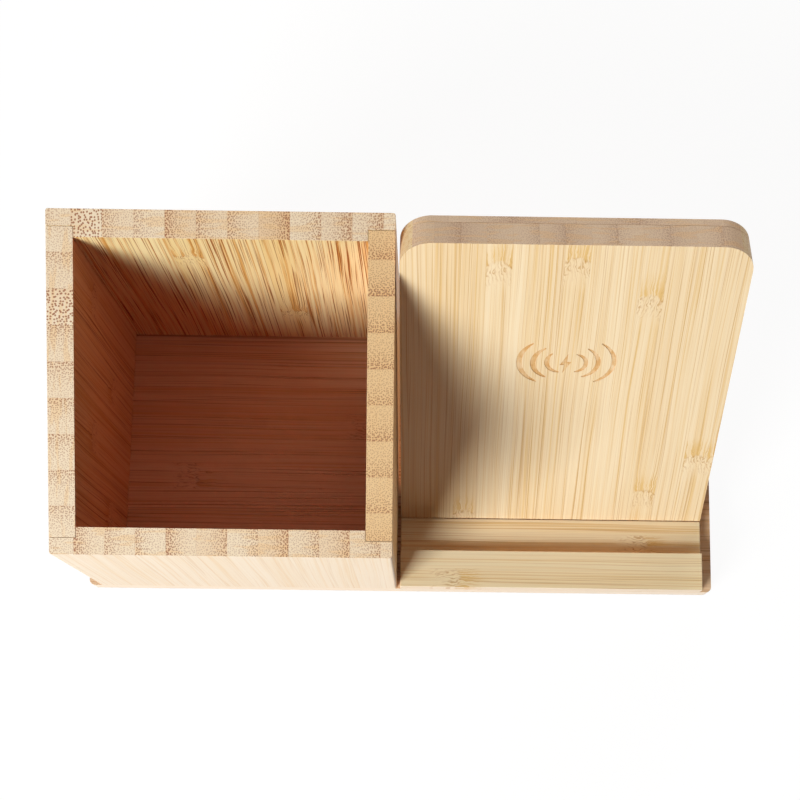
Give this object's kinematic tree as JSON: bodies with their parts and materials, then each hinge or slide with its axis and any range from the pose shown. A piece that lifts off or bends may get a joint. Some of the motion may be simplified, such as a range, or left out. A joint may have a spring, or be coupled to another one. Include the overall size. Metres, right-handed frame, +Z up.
{
  "type": "wireless charger pen holder",
  "caption": "Bamboo desk organiser: a square pen cup with a sloping rim beside a leaning wireless charging board with a phone ledge, on one base board.",
  "frame": {"origin": "middle of the footprint, at the level that the four feet stand on", "axes": "+X to the right along the base board, +Y from the front to the back, +Z up"},
  "size_m": [0.179, 0.081, 0.1071],
  "materials": {
    "bamboo": "side-pressed bamboo, sanded, thin clear satin finish",
    "foot_rubber": "matte",
    "screw_steel": "zinc plated",
    "bezel_plastic": "fine matte texture",
    "copper": "enamelled copper wire",
    "ferrite": "dull dark grey",
    "circuit_green": "green solder mask",
    "chip_resin": "moulded black resin",
    "capacitor_ceramic": "fired ceramic, tan",
    "clear_plastic": "clear, polished",
    "socket_steel": "nickel plated"
  },
  "bodies": {
    "root": {"base_board": "bamboo", "cup_front_wall": "bamboo", "cup_back_wall": "bamboo", "cup_left_wall": "bamboo", "cup_right_wall": "bamboo", "phone_ledge": "bamboo", "charging_board": "bamboo", "foot_1": "foot_rubber", "foot_2": "foot_rubber", "foot_3": "foot_rubber", "foot_4": "foot_rubber", "wall_screw_1": "screw_steel", "wall_screw_2": "screw_steel", "wall_screw_3": "screw_steel", "wall_screw_4": "screw_steel", "wall_screw_5": "screw_steel", "wall_screw_6": "screw_steel", "board_screw_1": "screw_steel", "board_screw_2": "screw_steel", "back_panel": "bamboo", "panel_screw_1": "screw_steel", "panel_screw_2": "screw_steel", "panel_screw_3": "screw_steel", "panel_screw_4": "screw_steel", "coil_winding": "copper", "ferrite_sheet": "ferrite", "coil_thermistor": "chip_resin", "circuit_board": "circuit_green", "controller_chip": "chip_resin", "bridge_chip_1": "chip_resin", "bridge_chip_2": "chip_resin", "capacitor_1": "capacitor_ceramic", "capacitor_2": "capacitor_ceramic", "capacitor_3": "capacitor_ceramic", "capacitor_4": "capacitor_ceramic", "inductor": "ferrite", "status_led": "clear_plastic", "light_pipe": "clear_plastic", "usb_shell": "socket_steel", "usb_tongue": "chip_resin", "port_bezel": "bezel_plastic"}
  },
  "joints": []
}
